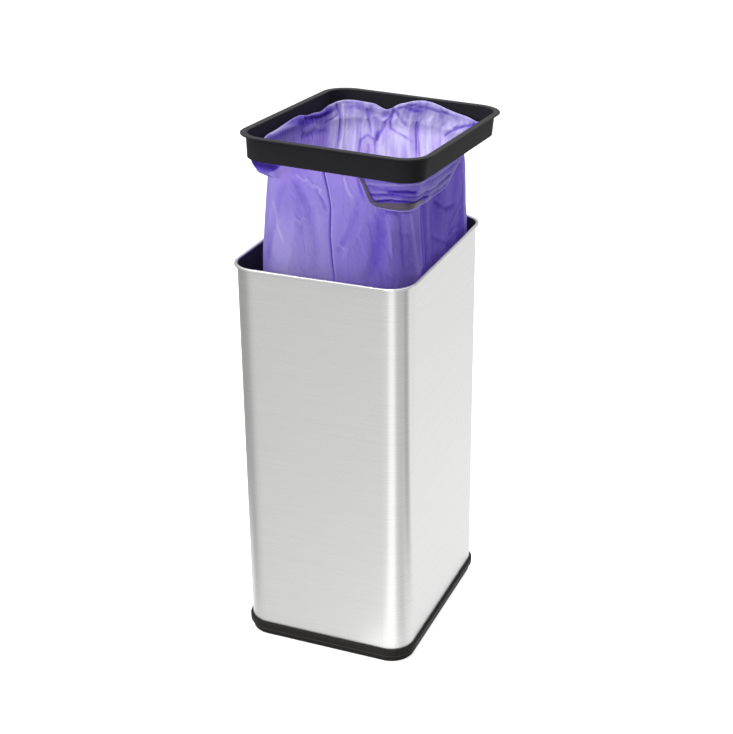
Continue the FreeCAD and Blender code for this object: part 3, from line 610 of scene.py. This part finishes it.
CUFF_CREASES = [
    ([(290.5, 42), (296.5, 42), (302.5, 39), (308.5, 37.5), (316.5, 37)], 1.2, 1.2, 0.5),
    ([(300.5, 50.5), (304, 49), (308, 48.5), (312, 50.5)], 2.3, -2.6, -1.0),
    ([(293.5, 54.5), (298, 51.5), (302, 51)], 1.5, 1.4, 0.35),
    ([(309.5, 53), (314.5, 53.5), (322, 56), (334, 57)], 1.5, 1.6, 0.4),
    ([(292.5, 58.5), (297, 57), (302.5, 54.5)], 1.6, -2.0, -0.8),
    ([(303, 54.5), (312, 57), (324, 60), (340, 61), (358, 56)], 1.8, -2.2, -0.6),
    ([(295, 63), (301, 59), (308, 59.5), (318, 62.5)], 1.4, 1.4, 0.35),
    ([(294, 69.5), (298, 65.5), (301.5, 62.5), (306.5, 62), (316, 65.5), (325, 70)],
     1.8, -2.0, -1.1),
    ([(313.5, 63), (325.5, 68), (340, 69)], 1.6, -1.4, -0.55),
    ([(324, 63.5), (338, 65), (352, 63), (364, 57)], 1.3, 1.6, 0.4),
    ([(330, 73.5), (343.5, 74), (358, 71)], 1.6, -1.8, -0.55),
    ([(338, 79.5), (343.5, 79.5), (352, 80), (360, 80)], 1.1, 1.2, 0.6),
    ([(366, 82), (369.5, 75), (373.5, 62.5), (371.5, 46.5)], 1.2, 1.4, 0.6),
    ([(341, 53.5), (350, 53.5), (357.5, 52), (367, 48)], 1.2, 1.4, 0.55),
    ([(316, 44), (330, 46), (346, 46), (360, 43)], 2.4, -1.6, -0.35),
    ([(292, 46), (296, 49), (300, 47)], 2.0, -1.2, -0.3),
    ([(326, 41), (345, 40), (362, 38)], 2.2, 1.2, 0.2),
    # painted shadow under the ring's skirt at the left corner
    ([(243, 39), (232, 39), (212, 37)], 8.5, -1.0, -0.95),
    ([(226, 50), (236, 53), (243, 48)], 1.6, 1.4, 0.35),
]
MM_PER_DEGREE = 2.5
BODY_FADE, CUFF_FADE, FADE_LEFT = 0.35, 0.05, 0.2


def path_distance(across, along, path):
    """Distance of each film point from a path, and the share of the path behind it."""
    nearest, travel = np.full(across.shape, 1e9), np.zeros(across.shape)
    for step, ((angle_a, a), (angle_b, b)) in enumerate(zip(path, path[1:])):
        x = ((across - angle_a + 180) % 360 - 180) * MM_PER_DEGREE
        y = along - a
        dx = ((angle_b - angle_a + 180) % 360 - 180) * MM_PER_DEGREE
        dy = b - a
        share = np.clip((x * dx + y * dy) / (dx * dx + dy * dy), 0, 1)
        away = np.hypot(x - share * dx, y - share * dy)
        travel = np.where(away < nearest, (step + share) / (len(path) - 1), travel)
        nearest = np.minimum(nearest, away)
    return nearest, travel


def ridge(away, width):
    """A bell-shaped hump, 1 where nothing is away."""
    return np.exp(-(away / width) ** 2)


def crease_field(across, along, creases, fade):
    """Rise and painted shade or highlight that the creases give each film point; each crease fades
    at its end.
    """
    rise, painted_shading = np.zeros(across.shape), np.zeros(across.shape)
    for path, width, height, shade in creases:
        away, travel = path_distance(across, along, path)
        near = ridge(away, width) * smooth(FADE_LEFT + (1 - travel) / fade)
        rise += height * near
        painted_shading += shade * near
    return rise, painted_shading


# Noise of the crumpled film: scale, octaves and seed, then what each kind adds
FALL_OFF, FINER, DOWN_SHARE = 1.0, 2.1, 0.45
SWELLS, FOLDS = (0.014, 3, 4.1), (0.02, 2, 11.7)
LINES, HAIRS = (0.016, 3, 7.3), (0.045, 2, 2.9)
LINE_WIDTH, HAIR_WIDTH = 0.035, 0.05
SWELL_RISE, FOLD_RISE, LINE_RISE, HAIR_RISE = 2.0, 1.2, -0.8, -0.2
# painted light and shade with the folds, painted shade along the lines and hairs
FOLD_PAINTED_SHADING, LINE_PAINTED_SHADE, HAIR_PAINTED_SHADE = 0.25, -0.06, -0.03

# Parts of the body with painted shade or light of their own, by angle: start, end, ramp in and ramp
# out.
# The right side has painted shade at all heights; the left side has painted light and the middle
# painted shade, only low down.
RIGHT_SIDE, LEFT_SIDE, MIDDLE = (323, 410, 6, 20), (225, 268, 14, 14), (276, 326, 8, 8)
RIGHT_PAINTED_SHADE, LEFT_PAINTED_LIGHT, MIDDLE_PAINTED_SHADE = -0.50, 0.16, -0.20
LOW_FROM, LOW_OVER = 715, 60

# Painted light on the inside's far wall and painted shade on its left wall, by angle, and the
# height where it begins
FAR_WALL, LEFT_WALL = (52, 137, 16, 9), (137, 190, 9, 20)
FAR_WALL_PAINTED_LIGHT, LEFT_WALL_PAINTED_SHADE = 0.60, -0.26
PAINTED_INNER_LIGHT_FROM, PAINTED_INNER_LIGHT_OVER = 560, 130

# A painted highlight along the hem, in millimetres; a painted highlight on the crest and painted
# shade past it, in rows
HEM_HIGHLIGHT, HEM_WIDTH = 0.5, 1.2
CREST_HIGHLIGHT, CREST_WIDTH = 0.4, 1.5
UNDER_CREST_SHADE, UNDER_WIDTH, UNDER_ROWS = -0.3, 2, 7
CREST_CALM = 6


def fractal(points, scale, octaves, seed):
    """Smooth noise at the points, stretched down the film."""
    flat = (points * np.array([scale, scale, scale * DOWN_SHARE]) + seed).reshape(-1, 3)
    values = [noise.fractal(Vector(p), FALL_OFF, FINER, octaves) for p in flat]
    return np.array(values).reshape(points.shape[:-1])


def rows_past_crest(grid):
    """For each row of the film, how many rows it lies past the fold's crest."""
    return np.arange(len(grid))[:, None] - CREST_ROW


def crumple(grid, angle):
    """How far each film point stands off the smooth form, and its painted shade and painted light.
    """
    turn = np.array(RING_TURN.to_matrix())
    height = grid[..., 2]
    drop = -((grid - np.array(RING_PLACE)) @ turn)[..., 2]
    across = np.broadcast_to(angle, drop.shape)
    past_crest = rows_past_crest(grid)
    on_cuff = past_crest < 0
    body_rise, body_painted_shading = crease_field(across, height, BODY_CREASES, BODY_FADE)
    cuff_rise, cuff_painted_shading = crease_field(across, drop, CUFF_CREASES, CUFF_FADE)
    lines = ridge(fractal(grid, *LINES), LINE_WIDTH)
    hairs = ridge(fractal(grid, *HAIRS), HAIR_WIDTH)
    folds = fractal(grid * (1, 1, 0.5), *FOLDS)
    rise = (SWELL_RISE * fractal(grid, *SWELLS) + FOLD_RISE * folds
            + LINE_RISE * lines + HAIR_RISE * hairs)
    rise += np.where(on_cuff, -cuff_rise, body_rise)
    rise *= np.clip(np.abs(past_crest) / CREST_CALM, 0, 1)
    # painted highlight along the hem
    hem_line_highlight = np.where(on_cuff, HEM_HIGHLIGHT * ridge(hem_drop(across) - drop, HEM_WIDTH), 0.0)
    # painted highlight along the fold's crest, painted shade a few rows past it
    edge = (CREST_HIGHLIGHT * ridge(past_crest, CREST_WIDTH)
            + UNDER_CREST_SHADE * ridge(past_crest - UNDER_ROWS, UNDER_WIDTH))
    # painted shade on the right side; low down, painted light on the left and painted shade in the
    # middle
    side_painted_shading = RIGHT_PAINTED_SHADE * stretch(angle, *RIGHT_SIDE)
    low = smooth((LOW_FROM - height) / LOW_OVER)
    side_painted_shading = side_painted_shading + low * (LEFT_PAINTED_LIGHT * stretch(angle, *LEFT_SIDE)
                             + MIDDLE_PAINTED_SHADE * stretch(angle, *MIDDLE))
    painted_shading = np.where(on_cuff, cuff_painted_shading, body_painted_shading + side_painted_shading + FOLD_PAINTED_SHADING * folds) + hem_line_highlight + edge
    # painted shade along the crinkle lines and hairs
    return rise, painted_shading + LINE_PAINTED_SHADE * lines + HAIR_PAINTED_SHADE * hairs


def painted_inner_light_at(grid, angle):
    """Painted light on the film's inner face: most on the far wall, painted shade on the left wall,
    and none low in the can.
    """
    far = stretch(angle, *FAR_WALL) * FAR_WALL_PAINTED_LIGHT + stretch(angle, *LEFT_WALL) * LEFT_WALL_PAINTED_SHADE
    high = smooth((grid[..., 2] - PAINTED_INNER_LIGHT_FROM) / PAINTED_INNER_LIGHT_OVER)
    return np.where(rows_past_crest(grid) < 0, 0.0, far * high)


def add_piece(name, points, faces):
    """A smooth piece from points in millimetres and their faces."""
    mesh = bpy.data.meshes.new(name)
    mesh.from_pydata((points.reshape(-1, 3) * MM).tolist(), [], faces)
    mesh.polygons.foreach_set("use_smooth", [True] * len(faces))
    mesh.update()
    piece = bpy.data.objects.new(name, mesh)
    bpy.context.scene.collection.objects.link(piece)
    return piece


def film_faces(rows, count):
    """Faces between the rows of the film, closed round the bag, with one more for its foot."""
    faces = []
    for row in range(rows - 1):
        for column in range(count):
            after = (column + 1) % count
            faces.append((row * count + column, row * count + after,
                          (row + 1) * count + after, (row + 1) * count + column))
    faces.append(tuple(range((rows - 1) * count, rows * count)))
    return faces


def paint(piece, name, amounts):
    """Keep a number for each point of the piece, which its material reads by name."""
    layer = piece.data.attributes.new(name, "FLOAT", "POINT")
    layer.data.foreach_set("value", amounts.ravel())


def make_bag():
    """The film bag: its smooth form, crumpled, with painted shade and painted light on its points.
    """
    angle = np.arange(ANGLES) * 360 / ANGLES
    grid = refined(film_rows(angle))
    rise, painted_shading = crumple(grid, angle)
    grid = grid + grid_normals(grid) * rise[..., None]
    bag = add_piece("film_bag", grid, film_faces(*grid.shape[:2]))
    # painted shade and painted light on the film's points, then painted light on its inner face
    paint(bag, "painted_shading", np.clip(painted_shading, -1, 1))
    paint(bag, "painted_inner_light", painted_inner_light_at(grid, angle))
    dress(bag, violet_film())
    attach(bag, "root")
    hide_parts("liner_bag")
    return bag


# The tape, where the cuff's pocket lies open: angle, depth in the ring and half width
TAPE_ROUTE = [
    (286.8, 30, 1.4), (288.2, 38, 1.9), (290, 49, 2.1), (291.6, 60, 2.0), (293, 68, 2.2),
    (296, 71.2, 3.2), (300, 70.4, 4.6), (306, 69.2, 5.2), (312, 69, 4.4), (316, 69.5, 3.0),
    (319, 70.5, 0.9),
]

# The tape's distance outside the cuff's line and its thickness, then its steps along and across
TAPE_LIFT, TAPE_THICKNESS = 1.4, 0.5
TAPE_STEPS, TAPE_ACROSS = 10, 6


def cuff_surface(angle, drop, lift):
    """Points on the cuff's outer side, at angles and depths in the ring."""
    hanging = np.maximum(drop - SKIRT_HEIGHT, 0)
    return np.array([ring_point(np.array([a]), np.array([d]),
                                FILM_GAP + h * CUFF_PULL - lift)[0]
                     for a, d, h in zip(angle, drop, hanging)])


def make_tape():
    """A flat closed strip along the open pocket and up the slit."""
    route = np.array(TAPE_ROUTE, dtype=float)
    place = np.arange(0, len(route) - 1 + 1e-6, 1 / TAPE_STEPS)
    angle, drop, half = (np.interp(place, np.arange(len(route)), route[:, k]) for k in range(3))
    along = np.stack([np.gradient(angle) * MM_PER_DEGREE, np.gradient(drop)], 1)
    along /= np.linalg.norm(along, axis=1, keepdims=True)
    rings = []
    for lift, sides in ((TAPE_LIFT, 1), (TAPE_LIFT - TAPE_THICKNESS, -1)):
        for share in np.linspace(-1, 1, TAPE_ACROSS + 1):
            off = sides * share * half
            rings.append(cuff_surface(angle - along[:, 1] * off / MM_PER_DEGREE,
                                      drop + along[:, 0] * off, lift))
    grid = np.array(rings)
    count, length = grid.shape[:2]
    faces = [(ring * length + step, ring * length + step + 1,
              (ring + 1) % count * length + step + 1, (ring + 1) % count * length + step)
             for ring in range(count) for step in range(length - 1)]
    faces += [tuple(ring * length for ring in range(count)),
              tuple(ring * length + length - 1 for ring in reversed(range(count)))]
    tape = add_piece("draw_tape", grid, faces)
    dress(tape, woven_tape())
    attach(tape, "root")
    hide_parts("drawtape")
    return tape


# Stage, in metres
FLOOR_SIZE = 14
FLOOR_LOW, FLOOR_HIGH = 0.68, 0.70
CAMERA_WHITE = 0.8

# Brightness of the floor as metal sees it: degrees round the can and brightness
STUDIO = [
    (-180, 0.48), (-150, 0.56), (-137, 0.74), (-125, 0.88), (-117, 0.92), (-110, 0.93),
    (-92, 0.98), (-80, 1.04), (-68, 1.50), (-55, 1.50), (-46, 0.98), (-36, 0.78), (-14, 0.76),
    (-7, 0.54), (3, 0.56), (12, 0.90), (20, 1.22), (42, 1.10), (70, 1.14), (95, 0.90),
    (125, 0.60), (155, 0.50), (180, 0.48),
]

# How that brightness falls with distance, and the even patch near the can's right side
NEAR_REACH, FAR_REACH, NEAR_FALL, FAR_FALL = 0.3, 1.4, 1.08, 0.94
CLOSE_LIGHT, CLOSE_FULL, CLOSE_END = 1.18, 0.25, 0.6
CLOSE_START_Y, CLOSE_FULL_Y = -0.19, -0.12


def studio_ring(n, place):
    """The brightness round the can as a colour, with an even patch close to its right side."""
    split = n.add("SeparateXYZ", {0: place})
    turn = n.math("ARCTAN2", split.outputs["Y"], split.outputs["X"])
    share = n.math("ADD", n.math("DIVIDE", turn, 2 * math.pi), 0.5)
    ring = n.ramp(share, [((at + 180) / 360, level) for at, level in STUDIO])
    reach = n.vector("LENGTH", place)
    fall = n.between(reach, NEAR_FALL, FAR_FALL, NEAR_REACH, FAR_REACH)
    close = n.math("MULTIPLY", n.between(reach, 1.0, 0.0, CLOSE_FULL, CLOSE_END),
                   n.between(split.outputs["Y"], 0.0, 1.0, CLOSE_START_Y, CLOSE_FULL_Y))
    return n.mix(close, n.vector("SCALE", ring, fall), CLOSE_LIGHT)


def make_floor():
    """A white floor; what it gives back to metal changes with the direction."""
    bpy.ops.mesh.primitive_plane_add(size=FLOOR_SIZE)
    floor = bpy.context.object
    floor.name = "floor"
    n = material_nodes("white_floor")
    diffuse = n.add("BsdfDiffuse", {
        "Color": n.mix(n.noise(EVEN, 1.5, detail=2.0), FLOOR_LOW, FLOOR_HIGH)})
    rays = n.add("LightPath").outputs
    white = n.add("Emission", {
        "Strength": n.math("MULTIPLY", rays["Is Camera Ray"], CAMERA_WHITE)})
    seen = n.add("AddShader", {0: diffuse.outputs[0], 1: white.outputs[0]})
    ring = n.add("Emission", {"Color": studio_ring(n, n.place()), "Strength": 1.0})
    mixed = n.add("MixShader", {0: rays["Is Glossy Ray"], 1: seen.outputs[0],
                                2: ring.outputs[0]})
    dress(floor, n.finish(mixed.outputs[0]))


# Brightness of the world: for plain surfaces from left to right, for metal from low to high
SOFT_LEFT, SOFT_RIGHT = 0.60, 0.24
SHINY_LOW, SHINY_HIGH = 0.50, 1.40
SHINY_FROM, SHINY_TO = 0.25, 0.75


def make_world():
    """White to the eye, brighter overhead for metal, and dimmer on the right for all else."""
    world = bpy.data.worlds.new("studio")
    bpy.context.scene.world = world
    n = Nodes(world, "OutputWorld")
    way = n.add("SeparateXYZ", {0: n.add("TexCoord").outputs["Generated"]}).outputs
    rays = n.add("LightPath").outputs
    soft = n.between(way["X"], SOFT_LEFT, SOFT_RIGHT, -1.0, 1.0)
    shiny = n.between(way["Z"], SHINY_LOW, SHINY_HIGH, SHINY_FROM, SHINY_TO)
    strength = n.choose(rays["Is Glossy Ray"], soft, shiny)
    clear = n.math("MAXIMUM", rays["Is Camera Ray"], rays["Is Transmission Ray"])
    strength = n.choose(clear, strength, 1.0)
    n.finish(n.add("Background", {"Color": (1.0, 1.0, 1.0), "Strength": strength}).outputs[0])


def area_light(name, place, aim, size, power, mirrored=False):
    """A lamp at its place, turned to its aim; metal shows it only if it is mirrored."""
    data = bpy.data.lights.new(name, "AREA")
    data.shape = "RECTANGLE"
    data.size, data.size_y = size
    data.energy = power
    lamp = bpy.data.objects.new(name, data)
    direction = Vector(aim) - Vector(place)
    lamp.matrix_world = (Matrix.Translation(place)
                         @ direction.to_track_quat("-Z", "Y").to_matrix().to_4x4())
    lamp.visible_glossy = mirrored
    bpy.context.scene.collection.objects.link(lamp)


def make_lights():
    """Three soft lamps: overhead, left of the camera and behind the can."""
    area_light("overhead", (-0.1, -0.3, 2.5), (0, 0, 0.6), (1.3, 1.3), power=34, mirrored=True)
    area_light("left_front", (-1.3, -2.0, 1.5), (0, 0, 0.55), (1.0, 1.2), power=34)
    area_light("behind", (0.2, 2.0, 1.5), (0, 0, 0.7), (1.4, 1.4), power=48)


# The scene
make_camera()
make_world()
make_lights()
make_floor()
bag = make_bag()
make_tape()

dress(nodes["steel_body"], brushed_steel())
dress(nodes["floor_pan"], plain_steel())
dress(nodes["base_screws"], plain_steel())
# the base's painted highlight runs just below the top of its lower tier
tier_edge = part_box("base_moulding")[0].z + LOWER_TIER * MM
dress(nodes["base_moulding"], moulded_plastic(
    "black_base", (0.018, 0.017, 0.016), (0.027, 0.026, 0.025), roughness=0.45,
    gloss=0.06, edge_gloss=0.06, edge=tier_edge))
dress(nodes["bag_ring"], moulded_plastic(
    "black_ring", (0.016, 0.016, 0.018), (0.022, 0.022, 0.024), roughness=0.50,
    gloss=0.035, edge_gloss=0.12))
dress(nodes["foot_pads"], rubber())
